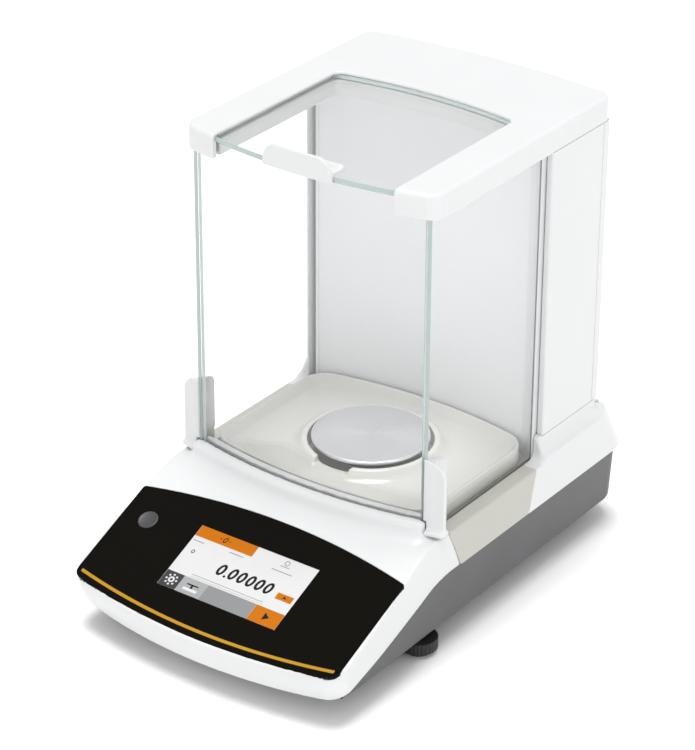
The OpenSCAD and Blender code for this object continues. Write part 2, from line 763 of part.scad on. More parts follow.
module foot_screw() {
  color([0.13, 0.12, 0.11]) {
    difference() {
      rod(0, 0, wheel_r, 3.2, 11.2);
      for (a = [0:12:348]) rotate([0, 0, a]) translate([wheel_r + 0.45, 0, 3])
        cylinder(r = 0.95, h = 9, $fn = 24);
    }
    rod(0, 0, 5, 11.2, 12.4);
  }
}
module foot_spindle() {
  color(steel) rod(0, 0, spindle_r, 1.4, spindle_top);
}
module left_foot_wheel() {
  translate([-foot_x, foot_y, 0]) difference() {
    foot_screw();
    rod(0, 0, spindle_r, 0, 20);
  }
}
module right_foot_wheel() {
  translate([foot_x, foot_y, 0]) difference() {
    foot_screw();
    rod(0, 0, spindle_r, 0, 20);
  }
}
module left_foot_spindle() { translate([-foot_x, foot_y, 0]) foot_spindle(); }
module right_foot_spindle() { translate([foot_x, foot_y, 0]) foot_spindle(); }
module foot_pad() {
  color(dark) difference() {
    rod(0, 0, 8.5, 0, 2.8);
    rod(0, 0, spindle_r + 0.05, 1.4, 4);
  }
}
module left_foot_pad() { translate([-foot_x, foot_y, 0]) foot_pad(); }
module right_foot_pad() { translate([foot_x, foot_y, 0]) foot_pad(); }
module rear_feet() {
  color(dark) both_sides() rod(rear_foot_x, rear_pad_y, rear_pad_r, 0, base_z + 1.5);
}
module connector_plate() {
  color(dark) difference() {
    box(plate_x[0], plate_x[1], plate_y - 4, plate_y, plate_zz[0], plate_zz[1]);
    translate([-60, plate_y + 1, 38]) rotate([90, 0, 0]) cylinder(r = 5.5, h = 30);
    box(-46.5, -33.5, 150, 190, 32, 44);
    box(-27, -10, 150, 190, 33, 43);
  }
}
module power_inlet() {
  color([0.08, 0.08, 0.09]) translate([-60, plate_y + 0.4, 38]) rotate([90, 0, 0]) {
    difference() {
      cylinder(r = 5.5, h = 14);
      translate([0, 0, -1]) cylinder(r = jack_r, h = 12);
    }
    translate([0, 0, 1]) cylinder(r = 1, h = 12);
  }
}
module usb_port() {
  color(steel) difference() {
    box(-46.5, -33.5, plate_y - 13, plate_y + 0.4, 32, 44);
    box(-45.5, -34.5, plate_y - 12, plate_y + 1, 33, 43);
  }
}
module usb_tongue() {
  color(dark) box(-43, -37, plate_y - 12, plate_y - 4, 35.5, 40.5);
}
module serial_port() {
  color(dark) difference() {
    box(-27, -10, plate_y - 12, plate_y + 0.4, 33, 43);
    box(-26, -11, plate_y - 9, plate_y + 1, 34, 42);
  }
}
module level_ring() {
  color(steel) translate([level_x, level_y, 84.6]) difference() {
    cylinder(r = 8, h = 6.6);
    translate([0, 0, 1]) cylinder(r = 6.2, h = 8);
  }
}
module level_vial() {
  color([0.75, 0.85, 0.45, 0.6]) translate([level_x, level_y, 85.6]) {
    cylinder(r = 6.2, h = 4.6);
  }
}

lower_housing();
foot_bushings();
front_housing();
display_panel();
accent_stripe();
display_screen();
display_module();
power_button();
button_switch();
chamber_base();
load_port_ring();
shield_plate();
weighing_pan();
pan_support();
load_receiver();
cell_block();
magnet_pot();
cell_beam();
position_sensor();
cal_weight();
cal_carriage();
cal_spindle();
cal_motor();
base_casting();
hook_cover();
main_board();
base_screws();
rear_housing();
tower_side_right();
tower_side_left();
tower_back();
rear_wall();
wall_seals();
roof_frame();
front_glass();
right_door_glass();
left_door_glass();
right_door_handle();
left_door_handle();
right_door_carrier();
left_door_carrier();
top_door_glass();
top_door_handle();
top_door_carrier();
left_foot_wheel();
right_foot_wheel();
left_foot_spindle();
right_foot_spindle();
left_foot_pad();
right_foot_pad();
rear_feet();
connector_plate();
power_inlet();
usb_port();
usb_tongue();
serial_port();
level_ring();
level_vial();
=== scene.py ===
import math

import bmesh
import bpy
import numpy as np
from mathutils import Matrix, Vector


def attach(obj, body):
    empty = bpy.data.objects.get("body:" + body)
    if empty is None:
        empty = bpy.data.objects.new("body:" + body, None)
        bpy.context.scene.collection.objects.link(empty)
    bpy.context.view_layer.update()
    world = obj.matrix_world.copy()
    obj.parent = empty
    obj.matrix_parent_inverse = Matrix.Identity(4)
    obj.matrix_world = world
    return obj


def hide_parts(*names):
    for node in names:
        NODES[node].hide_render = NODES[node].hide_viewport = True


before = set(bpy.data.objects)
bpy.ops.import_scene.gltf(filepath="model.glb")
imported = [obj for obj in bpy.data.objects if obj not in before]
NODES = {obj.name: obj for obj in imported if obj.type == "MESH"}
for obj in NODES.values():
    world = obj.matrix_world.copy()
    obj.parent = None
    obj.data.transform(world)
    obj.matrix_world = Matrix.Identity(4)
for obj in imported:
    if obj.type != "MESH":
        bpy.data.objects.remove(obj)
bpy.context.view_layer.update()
SIDES = ((1, "right"), (-1, "left"))
MM = 0.001

# ---------------------------------------------------------------- driving sizes, in millimetres
HALF_WIDTH = 107.8              # housing at the seam, its widest line
SEAM_Z = 57.0                   # seam between the grey base and the white housing
SHOULDER_Z = 82.3               # top of the side rails and of the housing's leaning sides
RISE = SHOULDER_Z - SEAM_Z
LEAN = 4.8                      # how far the sides lean in over that height
CHAMBER_HW = 88.4               # half width inside the chamber
DECK_Z, DECK_T = 80.0, 4.0      # chamber floor
BAY_C, BAY_R = -251.5, 340.0    # bowed rear end of the chamber
FRONT_C = 307.0                 # centre of the bowed front's circles, on the y axis
LIP_R, LIP_Z = 361.6, 92.3      # inner face and top of the lip in front of the chamber
PANE_R, PANE_T = 370.0, 3.0     # front pane's outer face, thickness of every pane
DOOR_X = 92.0                   # outer face of the side doors
GROOVE_X, GROOVE_Z = (88.6, 92.4), 76.2   # sides and floor of a side door's groove
REAR_R = 600.0                  # plan radius of the bowed rear
BASE_C, HOUSING_C, TOWER_C = -423.0, -420.0, -446.0
TOWER_HW, TOWER_Y = 97.5, 75.0
TOWER_FOOT_Z = 99.2             # joint between the rear housing and the tower
ROOF_LOW, ROOF_TOP = 303.0, 320.0
LID_Z = 317.6                   # upper face of the top door's glass
LID_OUT_R = 371.4               # its bowed front edge
PAN_Y, PAN_R, PAN_TOP = 16.0, 40.0, 95.6
NOSE_LOW, NOSE_HIGH = 16.6, 36.0   # heights between which the nose tucks in
NOSE_Y, NOSE_R = -180.0, 470.0     # its foremost point and its plan radius
TILT = math.radians(22.855)     # slope of the display panel
COS, SIN = math.cos(TILT), math.sin(TILT)
PANEL_Y, PANEL_Z = -94.8, 70.3  # a point of the panel's face, where its v axis starts
KEY_U, KEY_V = -84.9, -22.6     # power key on the panel

# ---------------------------------------------------------------- rounded solids
# Lengths below are in millimetres. A shape is a function of x, y, z that is negative
# inside; rmax and rmin join two of them with a fillet of radius r.

def rmax(a, b, r):
    u = np.maximum(a + r, 0.0)
    v = np.maximum(b + r, 0.0)
    return np.minimum(-r, np.maximum(a, b)) + np.sqrt(u * u + v * v)


def rmin(a, b, r):
    return -rmax(-a, -b, r)


def cut(a, b, r=0.6):
    return rmax(a, -b, r)


def slab(v, lo, hi):
    return np.abs(v - 0.5 * (lo + hi)) - 0.5 * (hi - lo)


def disc(x, y, cx, cy, r):
    return np.sqrt((x - cx) ** 2 + (y - cy) ** 2) - r


def incline(u, v, u0, v0, du, dv):
    """Distance of (u, v) to the line through (u0, v0) whose normal is (du, dv)."""
    return ((u - u0) * du + (v - v0) * dv) / math.hypot(du, dv)


def axis(*runs):
    """Grid coordinates from (start, end, step) runs."""
    out = [runs[0][0]]
    for a, b, step in runs:
        n = max(1, round((b - a) / step))
        out += [a + (b - a) * (i + 1) / n for i in range(n)]
    return np.array(out)


def across(*runs):
    """Grid coordinates mirrored about 0, from (outer end, step) runs that go outwards."""
    right = [(a, b, step) for (a, _), (b, step) in zip(runs, runs[1:])]
    left = [(-b, -a, step) for a, b, step in reversed(right)]
    return axis(*left, (-runs[0][0], *runs[0]), *right)


def side_axis(s, low, high, step):
    return axis((low, high, step)) if s > 0 else axis((-high, -low, step))


LAYERS = 24         # layers of the grid worked out at a time
NEWTON_STEPS = 4    # pulls of each vertex towards the surface
SLOPE_STEP = 0.02   # for the field's slope, in millimetres
STRAY = 0.15        # how far a vertex may leave its cell, as a share of the cell

CORNERS = [(i, j, k) for i in (0, 1) for j in (0, 1) for k in (0, 1)]
EDGES = [(a, b) for a in range(8) for b in range(a + 1, 8)
         if sum(p != q for p, q in zip(CORNERS[a], CORNERS[b])) == 1]


def solid(name, f, xs, ys, zs, body, mat, node=()):
    """A closed smooth mesh of f < 0 on a rectilinear grid, with the field's own normals."""
    X, Y, Z = xs[:, None, None], ys[None, :, None], zs[None, None, :]
    V = np.empty((len(xs), len(ys), len(zs)))
    for i in range(0, len(xs), LAYERS):
        V[i:i + LAYERS] = f(X[i:i + LAYERS], Y, Z)
    V[V == 0] = 1e-6
    ins = V < 0
    nx, ny, nz = (n - 1 for n in V.shape)
    count = np.zeros((nx, ny, nz), np.int8)
    for i, j, k in CORNERS:
        count += ins[i:nx + i, j:ny + j, k:nz + k]
    act = (count > 0) & (count < 8)
    I, J, K = np.nonzero(act)
    index = -np.ones(act.shape, np.int64)
    index[I, J, K] = np.arange(len(I))
    cv = np.stack([V[I + i, J + j, K + k] for i, j, k in CORNERS], 1)
    cp = np.stack([np.stack([xs[I + i], ys[J + j], zs[K + k]], 1) for i, j, k in CORNERS], 1)
    total = np.zeros((len(I), 3))
    weight = np.zeros(len(I))
    for a, b in EDGES:
        m = (cv[:, a] < 0) != (cv[:, b] < 0)
        t = cv[m, a] / (cv[m, a] - cv[m, b])
        total[m] += cp[m, a] + (cp[m, b] - cp[m, a]) * t[:, None]
        weight[m] += 1
    P = total / weight[:, None]
    lo, hi = cp[:, 0], cp[:, 7]
    size = hi - lo

    def grad(P):
        g = np.empty_like(P)
        for c in range(3):
            d = np.zeros(3)
            d[c] = SLOPE_STEP
            A, B = P + d, P - d
            g[:, c] = (f(A[:, 0], A[:, 1], A[:, 2]) - f(B[:, 0], B[:, 1], B[:, 2])) / (2 * SLOPE_STEP)
        return g

    for _ in range(NEWTON_STEPS):
        g = grad(P)
        v = f(P[:, 0], P[:, 1], P[:, 2])
        step = g * (v / np.maximum((g * g).sum(1), 0.05))[:, None]
        P = np.clip(P - step, lo - STRAY * size, hi + STRAY * size)
    g = grad(P)
    N = g / np.maximum(np.sqrt((g * g).sum(1)), 1e-9)[:, None]
    quads = []
    for ax in range(3):
        sl_a = [slice(1, -1)] * 3
        sl_b = [slice(1, -1)] * 3
        sl_a[ax] = slice(0, -1)
        sl_b[ax] = slice(1, None)
        a, b = ins[tuple(sl_a)], ins[tuple(sl_b)]
        E = np.stack(np.nonzero(a != b), 1)
        inside_first = a[tuple(E.T)]
        E = E + [0 if c == ax else 1 for c in range(3)]
        u, w = (ax + 1) % 3, (ax + 2) % 3
        q = []
        for du, dw in ((-1, -1), (0, -1), (0, 0), (-1, 0)):
            c = E.copy()
            c[:, u] += du
            c[:, w] += dw
            q.append(index[tuple(c.T)])
        q = np.stack(q, 1)
        q[~inside_first] = q[~inside_first][:, ::-1]
        quads.append(q)
    F = np.concatenate(quads)
    assert F.min() >= 0, name + " reaches its grid's edge"
    me = bpy.data.meshes.new(name)
    me.vertices.add(len(P))
    me.vertices.foreach_set("co", (P * MM).astype(np.float32).ravel())
    me.loops.add(F.size)
    me.loops.foreach_set("vertex_index", F.astype(np.int32).ravel())
    me.polygons.add(len(F))
    me.polygons.foreach_set("loop_start", np.arange(0, F.size, 4, dtype=np.int32))
    me.update(calc_edges=True)
    me.validate()
    me.shade_smooth()
    me.normals_split_custom_set_from_vertices([tuple(n) for n in N])
    print(name, len(P), "vertices")
    return finish_piece(name, me, body, mat, node)


def finish_piece(name, me, body, mats, node=()):
    o = bpy.data.objects.new(name, me)
    bpy.context.scene.collection.objects.link(o)
    for m in (mats if isinstance(mats, (list, tuple)) else [mats]):
        me.materials.append(m)
    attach(o, body)
    if node:
        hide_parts(*([node] if isinstance(node, str) else node))
    return o


def lathe(name, profile, centre, body, mat, node=(), n=192):
    """Turns (radius, height) points about the vertical axis; radius 0 closes the end."""
    verts, faces, rows = [], [], []
    cx, cy = centre
    turns = [2 * math.pi * i / n for i in range(n)]
    for r, z in profile:
        if r == 0:
            rows.append([len(verts)] * n)
            verts.append((cx, cy, z))
        else:
            rows.append(list(range(len(verts), len(verts) + n)))
            verts += [(cx + r * math.cos(t), cy + r * math.sin(t), z) for t in turns]
    for a, b in zip(rows, rows[1:]):
        for i in range(n):
            j = (i + 1) % n
            q = [a[i], a[j], b[j], b[i]]
            q = [v for k, v in enumerate(q) if v not in q[:k]]
            if len(q) > 2:
                faces.append(q)
    me = bpy.data.meshes.new(name)
    me.from_pydata([(x * MM, y * MM, z * MM) for x, y, z in verts], [], faces)
    me.validate()
    me.shade_smooth()
    return finish_piece(name, me, body, mat, node)


def arc(cx, cz, r, a0, a1, n=6):
    """Profile points along an arc, angles in degrees."""
    return [(cx + r * math.cos(math.radians(a0 + (a1 - a0) * i / n)),
             cz + r * math.sin(math.radians(a0 + (a1 - a0) * i / n))) for i in range(n + 1)]


# ---------------------------------------------------------------- materials

def material(name, colour, rough=0.5, metallic=0.0, **extra):
    m = bpy.data.materials.new(name)
    m.use_nodes = True
    p = m.node_tree.nodes["Principled BSDF"]
    p.inputs["Base Color"].default_value = (*colour, 1)
    p.inputs["Roughness"].default_value = rough
    p.inputs["Metallic"].default_value = metallic
    for k, v in extra.items():
        p.inputs[k.replace("_", " ")].default_value = v
    return m


def moulded(name, colour, rough=0.35, grain=0.00035, depth=0.02, shade=0.03, **extra):
    """Moulded plastic: fine grain in the surface, faint unevenness in colour and gloss."""
    m = material(name, colour, rough, **extra)
    nt = m.node_tree
    p = nt.nodes["Principled BSDF"]
    co = nt.nodes.new("ShaderNodeTexCoord")
    fine = nt.nodes.new("ShaderNodeTexNoise")
    fine.inputs["Scale"].default_value = 1 / grain
    fine.inputs["Detail"].default_value = 2
    wide = nt.nodes.new("ShaderNodeTexNoise")
    wide.inputs["Scale"].default_value = 18
    wide.inputs["Detail"].default_value = 3
    for n in (fine, wide):
        nt.links.new(co.outputs["Object"], n.inputs["Vector"])
    bump = nt.nodes.new("ShaderNodeBump")
    bump.inputs["Strength"].default_value = depth * 10
    bump.inputs["Distance"].default_value = 0.00002
    nt.links.new(fine.outputs["Fac"], bump.inputs["Height"])
    nt.links.new(bump.outputs["Normal"], p.inputs["Normal"])
    ramp = nt.nodes.new("ShaderNodeMapRange")
    ramp.inputs["From Min"].default_value = 0.3
    ramp.inputs["From Max"].default_value = 0.7
    ramp.inputs["To Min"].default_value = rough * 0.88
    ramp.inputs["To Max"].default_value = min(1.0, rough * 1.12)
    nt.links.new(wide.outputs["Fac"], ramp.inputs["Value"])
    nt.links.new(ramp.outputs["Result"], p.inputs["Roughness"])
    mix = nt.nodes.new("ShaderNodeMix")
    mix.data_type = "RGBA"
    mix.inputs["A"].default_value = (*[c * (1 - shade) for c in colour], 1)
    mix.inputs["B"].default_value = (*[min(1, c * (1 + shade)) for c in colour], 1)
    nt.links.new(wide.outputs["Fac"], mix.inputs["Factor"])
    nt.links.new(mix.outputs["Result"], p.inputs["Base Color"])
    return m


WHITE = moulded("white plastic", (0.655, 0.66, 0.665), 0.33)
CREAM = moulded("warm grey plastic", (0.47, 0.465, 0.42), 0.42)
DARK = moulded("dark grey plastic", (0.088, 0.089, 0.092), 0.5, depth=0.05)
BLACK = moulded("black plastic", (0.012, 0.012, 0.013), 0.45, depth=0.04)
# The rear wall's own pale grey, lifted with painted light above the white plastic to make up for the
# shade inside the chamber.
WALL_WITH_PAINTED_LIGHT = moulded("grey wall with painted light", (0.71, 0.715, 0.73), 0.4, depth=0.001)
SEAL = moulded("door strip", (0.66, 0.665, 0.675), 0.5)
# The tray's own cream, made lighter than the warm grey plastic with painted light to make up for the
# shade inside the chamber.
TRAY_WITH_PAINTED_LIGHT = moulded("cream tray with painted light", (0.60, 0.60, 0.57), 0.18, depth=0.004)
RUBBER = moulded("rubber", (0.045, 0.045, 0.047), 0.75, depth=0.08)
PANEL = moulded("black foil", (0.0045, 0.004, 0.003), 0.09, depth=0.002, Specular_IOR_Level=0.04)
GOLD = moulded("gold line", (0.42, 0.22, 0.008), 0.32, Specular_IOR_Level=0.2)
ALU = moulded("cast aluminium", (0.60, 0.61, 0.62), 0.38, metallic=1.0)
STEEL = moulded("plain steel", (0.72, 0.725, 0.74), 0.28, metallic=1.0)
BOARD = moulded("circuit board", (0.03, 0.16, 0.07), 0.45)
BRASS = moulded("brass", (0.70, 0.50, 0.22), 0.25, metallic=1.0)
KEY = moulded("power key", (0.036, 0.037, 0.039), 0.4, depth=0.04)
VIAL = moulded("level liquid", (0.62, 0.72, 0.16), 0.08)


HEAD_ON_MIRROR = 0.035    # mirror share of a glass face seen head on


def pane(name, tint):
    """Clear glass seen through thin panes: a tinted clear share and a mirror share by angle."""
    m = bpy.data.materials.new(name)
    m.use_nodes = True
    nt = m.node_tree
    nt.nodes.clear()
    out = nt.nodes.new("ShaderNodeOutputMaterial")
    clear = nt.nodes.new("ShaderNodeBsdfTransparent")
    clear.inputs["Color"].default_value = (*tint, 1)
    shine = nt.nodes.new("ShaderNodeBsdfGlossy")
    shine.inputs["Roughness"].default_value = 0.02
    shine.inputs["Color"].default_value = (1, 1, 1, 1)
    face = nt.nodes.new("ShaderNodeLayerWeight")
    face.inputs["Blend"].default_value = 0.5
    power = nt.nodes.new("ShaderNodeMath")
    power.operation = "POWER"
    power.inputs[1].default_value = 5
    nt.links.new(face.outputs["Facing"], power.inputs[0])
    share = nt.nodes.new("ShaderNodeMapRange")
    share.inputs["To Min"].default_value = HEAD_ON_MIRROR
    nt.links.new(power.outputs["Value"], share.inputs["Value"])
    mix = nt.nodes.new("ShaderNodeMixShader")
    nt.links.new(share.outputs["Result"], mix.inputs["Fac"])
    nt.links.new(clear.outputs["BSDF"], mix.inputs[1])
    nt.links.new(shine.outputs["BSDF"], mix.inputs[2])
    nt.links.new(mix.outputs["Shader"], out.inputs["Surface"])
    return m


GLASS = pane("clear glass", (0.997, 0.999, 0.998))
EDGE = moulded("glass edge", (0.40, 0.475, 0.455), 0.12, depth=0.004)
PALE_EDGE = moulded("pale glass edge", (0.60, 0.67, 0.66), 0.12, depth=0.004)
SCREEN = moulded("screen ground", (0.58, 0.58, 0.58), 0.3)
UI_ORANGE = moulded("screen orange", (0.47, 0.135, 0.001), 0.3, Specular_IOR_Level=0.1)
UI_GREY = moulded("screen grey", (0.21, 0.212, 0.22), 0.3)
UI_DARK = moulded("screen dark tile", (0.045, 0.046, 0.05), 0.3, Specular_IOR_Level=0.1)
UI_TILE = moulded("screen tile", (0.30, 0.305, 0.31), 0.3)
UI_INK = moulded("screen ink", (0.012, 0.012, 0.013), 0.3, Specular_IOR_Level=0.1)
UI_LIGHT = moulded("screen light ink", (0.60, 0.60, 0.60), 0.3)


def brushed(name, colour, rough, metallic):
    """Spun metal: fine rings about the pan's centre in its surface."""
    m = moulded(name, colour, rough, grain=0.0002, depth=0.004, metallic=metallic, Anisotropic=0.5)
    nt = m.node_tree
    p = nt.nodes["Principled BSDF"]
    co = nt.nodes.new("ShaderNodeTexCoord")
    shift = nt.nodes.new("ShaderNodeMapping")
    shift.inputs["Location"].default_value = (0, -PAN_Y * MM, 0)
    wave = nt.nodes.new("ShaderNodeTexWave")
    wave.wave_type = "RINGS"
    wave.rings_direction = "Z"
    wave.inputs["Scale"].default_value = 900
    wave.inputs["Distortion"].default_value = 0.4
    bump = nt.nodes.new("ShaderNodeBump")
    bump.inputs["Strength"].default_value = 0.12
    bump.inputs["Distance"].default_value = 0.00002
    nt.links.new(co.outputs["Object"], shift.inputs["Vector"])
    nt.links.new(shift.outputs["Vector"], wave.inputs["Vector"])
    nt.links.new(wave.outputs["Fac"], bump.inputs["Height"])
    nt.links.new(bump.outputs["Normal"], p.inputs["Normal"])
    return m


PAN = brushed("brushed steel", (0.68, 0.685, 0.695), 0.30, 0.8)


LOOKS = (
    (DARK, "cal_carriage"),
    (BLACK, "connector_plate usb_tongue serial_port power_inlet button_switch load_port_ring"),
    (BLACK, "position_sensor cal_motor hook_cover left_foot_wheel right_foot_wheel"),
    (STEEL, "foot_bushings base_screws cal_spindle magnet_pot usb_port level_ring"),
    (STEEL, "left_foot_spindle right_foot_spindle"),
    (ALU, "pan_support load_receiver cell_block cell_beam base_casting"),
    (BOARD, "display_module main_board"),
    (BRASS, "cal_weight"),
    (VIAL, "level_vial"),
    (RUBBER, "left_foot_pad right_foot_pad rear_feet"),
    (WHITE, "tower_back right_door_carrier left_door_carrier top_door_carrier"),
    (WALL_WITH_PAINTED_LIGHT, "rear_wall wall_seals"),
    (PANEL, "display_panel"),
    (GOLD, "accent_stripe"),
    (SCREEN, "display_screen"),
)


def give(node, mat):
    o = NODES[node]
    if not o.material_slots:
        o.data.materials.append(mat)
    for s in o.material_slots:
        s.material = mat


for mat, names in LOOKS:
    for n in names.split():
        give(n, mat)

# ---------------------------------------------------------------- lines that several pieces share
# Where the housing's lower edge runs on its side, from the nose back, as (y, z).
SWEEP = [(-170, 16.6), (-160, 18.2), (-155.6, 20.8), (-144.2, 25.7), (-118.7, 34.9), (-92.7, 44.4),
         (-79.6, 49.0), (-73, 51.6), (-65.1, 54.2), (-55.7, 55.9), (-46, 57.0), (-30, 57.0)]
SWEEP_SLOPE = 0.94    # turns a height above the sweep into a distance from it


def smooth_line(points, n=400, passes=60):
    y = np.linspace(points[0][0], points[-1][0], n)
    z = np.interp(y, [p[0] for p in points], [p[1] for p in points])
    for _ in range(passes):
        z[1:-1] = 0.25 * z[:-2] + 0.5 * z[1:-1] + 0.25 * z[2:]
    return y, z


SWEEP_Y, SWEEP_Z = smooth_line(SWEEP)


def above_sweep(y, z):
    return (z - np.interp(y, SWEEP_Y, SWEEP_Z)) * SWEEP_SLOPE


def bow(x, y):
    """Distance from the centre of the bowed front's circles."""
    return np.sqrt(x * x + (y - FRONT_C) ** 2)


def side_wall(ax, z):
    return incline(ax, z, HALF_WIDTH, SEAM_Z, RISE, LEAN)


def front_joint(y, z):
    """Joint between front housing and rail, positive behind it."""
    return ((y + 42.6) * RISE + (z - SHOULDER_Z) * 8) / 26.5


def rear_joint(y, z):
    """Joint between rail and rear housing, positive behind it."""
    return incline(y, z, 44.7, SEAM_Z, RISE, -15.9)


def groove(ax, z):
    """The groove that a side door runs in."""
    return rmax(slab(ax, *GROOVE_X), GROOVE_Z - z, 0.2)


def tower_plan(x, y, corner):
    return rmax(np.abs(x) - TOWER_HW, disc(x, y, 0, TOWER_C, REAR_R), corner)


def panel_uvw(x, y, z):
    """Panel coordinates: across, up the slope, and out of the face."""
    return x, (y - PANEL_Y) * COS + (z - PANEL_Z) * SIN, (z - PANEL_Z) * COS - (y - PANEL_Y) * SIN


def on_panel(u, v, w):
    return Vector((u, PANEL_Y + v * COS - w * SIN, PANEL_Z + v * SIN + w * COS)) * MM


# ---------------------------------------------------------------- front housing
PANEL_HW = 105.1
PANEL_LOW, PANEL_LOW_R = -90.1, 540.0
PANEL_HIGH, PANEL_HIGH_R = 11.8, 490.0
PANEL_GAP = 0.15
KEY_HOLE_R = 8.5


def tuck(z):
    """0 at the nose's upper edge, 1 at its lower edge."""
    return np.clip((NOSE_HIGH - z) / (NOSE_HIGH - NOSE_LOW), 0, 1)


def side_edge(ax, z):
    """Housing side: leans in above the seam and tucks in below the nose's upper edge."""
    return rmax(side_wall(ax, z), ax - (HALF_WIDTH - 3.1 * tuck(z) ** 1.6), 3.0)


def panel_recess(x, y, z):
    u, v, w = panel_uvw(x, y, z)
    lower = disc(u, v, 0, PANEL_LOW + PANEL_LOW_R, PANEL_LOW_R)
    upper = disc(u, v, 0, PANEL_HIGH - PANEL_HIGH_R, PANEL_HIGH_R)
    side = np.abs(u) - PANEL_HW
    plan = rmax(np.maximum(rmax(lower, side, 7), side), upper, 2.0) - PANEL_GAP
    return rmax(plan, -2.0 - w, 0.1), rmax(disc(u, v, KEY_U, KEY_V, KEY_HOLE_R), -9 - w, 0.3)


def lip_shape(ax, z, r):
    lip = rmax(rmax(LIP_R - r, z - LIP_Z, 1.2), incline(r, z, 378.5, 84, 0.96, 0.28), 4.0)
    return rmax(rmax(lip, ax - 92.3, 2.0), 66 - z, 0.5)


def pane_slots(ax, y, z, r):
    front = rmax(rmax(slab(r, PANE_R - 3.1, PANE_R + 0.1), ax - 90.6, 0.2), 85.25 - z, 0.2)
    side = rmax(rmax(slab(ax, *GROOVE_X), -53.3 - y, 0.2), GROOVE_Z - z, 0.2)
    return np.minimum(front, side)


def front_shape(x, y, z):
    ax, r = np.abs(x), bow(x, y)
    t = tuck(z) ** 1.5
    radius, nose = NOSE_R - 135 * t, NOSE_Y + 3.2 * t
    d = rmax(disc(x, y, 0, nose + radius, radius), side_edge(ax, z), 12)
    d = rmax(d, rmax(panel_uvw(x, y, z)[2], z - SHOULDER_Z, 4), 1.5)
    d = rmax(d, -above_sweep(y, z), 0.7)
    d = rmax(d, NOSE_LOW - z, 1.2)
    d = rmin(d, lip_shape(ax, z, r), 7)
    d = cut(d, rmax(rmax(r - LIP_R, ax - CHAMBER_HW, 0.5), 60 - z, 0.5), 0.6)
    d = rmax(d, front_joint(y, z), 0.5)
    d = cut(d, pane_slots(ax, y, z, r), 0.3)
    recess, key_hole = panel_recess(x, y, z)
    return cut(cut(d, recess, 0.5), key_hole, 0.3)


solid("front_housing_shell", front_shape, across((60, 3.0), (86, 1.3), (109.5, 0.8)),
      axis((-181.5, -164, 0.7), (-164, -32, 0.9)), axis((15, 40, 0.8), (40, 94, 0.8)),
      "chassis", WHITE, "front_housing")

# ---------------------------------------------------------------- rear housing
LEVEL_X, LEVEL_Y, LEVEL_HOLE_R = -60.0, 157.0, 8.2


def rear_walls(x, y, z):
    r = np.sqrt(x * x + (y - HOUSING_C) ** 2)
    back = incline(r, z, REAR_R, SEAM_Z, RISE, 10)
    slope = rmax(incline(np.abs(x), z, 103, SHOULDER_Z, 13.5, 5.5), incline(r, z, 576, 91, 4, 10), 2)
    return rmax(side_wall(np.abs(x), z), back, 15), slope


def rear_shape(x, y, z):
    ax = np.abs(x)
    walls, slope = rear_walls(x, y, z)
    slope = rmax(slope, z - TOWER_FOOT_Z, 0.5)
    cap = rmin(z - SHOULDER_Z, rmax(slope, 71.5 - y, 3), 6)
    foot = rmax(tower_plan(x, y, 8), rmax(z - TOWER_FOOT_Z, TOWER_Y - y, 0.8), 0.8)
    d = rmax(walls, rmin(cap, foot, 1.0), 0.8)
    d = rmax(d, SEAM_Z - z, 0.6)
    d = rmax(d, -rear_joint(y, z), 0.5)
    d = rmax(d, 40 - y, 0.5)
    chamber = rmax(ax - CHAMBER_HW, disc(x, y, 0, BAY_C, BAY_R), 0.5)
    d = cut(d, rmax(chamber, DECK_Z - DECK_T - z, 0.3), 0.4)
    d = cut(d, rmax(rmax(ax - 85, disc(x, y, 0, -450, REAR_R), 1), DECK_Z - z, 0.3), 0.3)
    d = cut(d, groove(ax, z), 0.4)
    return cut(d, rmax(disc(x, y, LEVEL_X, LEVEL_Y, LEVEL_HOLE_R), 84.6 - z, 0.2), 0.4)


solid("rear_housing_shell", rear_shape,
      axis((-109.5, -84, 0.8), (-84, -70, 2.0), (-70, -50, 0.8), (-50, 84, 3.0), (84, 109.5, 0.8)),
      axis((38, 82, 0.9), (82, 140, 2.5), (140, 182, 0.9)),
      axis((55.5, 60, 0.7), (60, 74, 1.6), (74, 100.5, 0.8)),
      "chassis", WHITE, "rear_housing")

# ---------------------------------------------------------------- shield plate
TRAY_HW, TRAY_TOP, TRAY_FLOOR = 87.6, 92.8, 86.2
TRAY_HOLE_R = 42.4
COLLAR_R, COLLAR_TOP = 44.6, 94.2


def tray_plan(x, y):
    front = disc(x, y, 0, FRONT_C, LIP_R - 0.4)
    back = disc(x, y, 0, -256, BAY_R)
    side = np.abs(x) - TRAY_HW
    return np.maximum(rmax(front, side, 13), rmax(back, side, 15))


def tray_shape(x, y, z):
    edge = tray_plan(x, y)
    q = np.sqrt(x * x + (y - PAN_Y) ** 2)
    lean = np.clip((z - 82) / 10.8, 0, 1) * 0.5
    outer = rmax((edge + lean) * 0.985, z - TRAY_TOP, 1.0)
    collar = rmax(incline(q, z, COLLAR_R, COLLAR_TOP, 1, 0.9), z - COLLAR_TOP, 1.2)
    ground = rmin(z - TRAY_FLOOR, collar, 3.5)
    wall = incline(edge, z, -2.2, TRAY_TOP, 1, -0.75)
    d = cut(outer, rmax(wall, -ground, 0.8), 0.6)
    d = rmax(d, DECK_Z - z, 0.6)
    notch = rmax(rmax(slab(x, -13.8, 13.2), 88.6 - z, 2.5), rmax(q - 55, y - PAN_Y, 1), 2.0)
    d = cut(d, notch, 1.8)
    return cut(d, q - TRAY_HOLE_R, 0.7)


solid("shield_dish", tray_shape, across((76, 1.0), (89.5, 0.6)),
      axis((-56, -36, 0.65), (-36, 62, 1.0), (62, 86, 0.65)), axis((79, 84, 1.0), (84, 95.5, 0.5)),
      "shield", TRAY_WITH_PAINTED_LIGHT, "shield_plate")

# ---------------------------------------------------------------- roof
ROOF_C = 302.5                                          # its bowed front, of the front pane's radius
OPENING_HW, OPENING_C, OPENING_R = 69.3, -251.4, 330.0  # opening under the top door


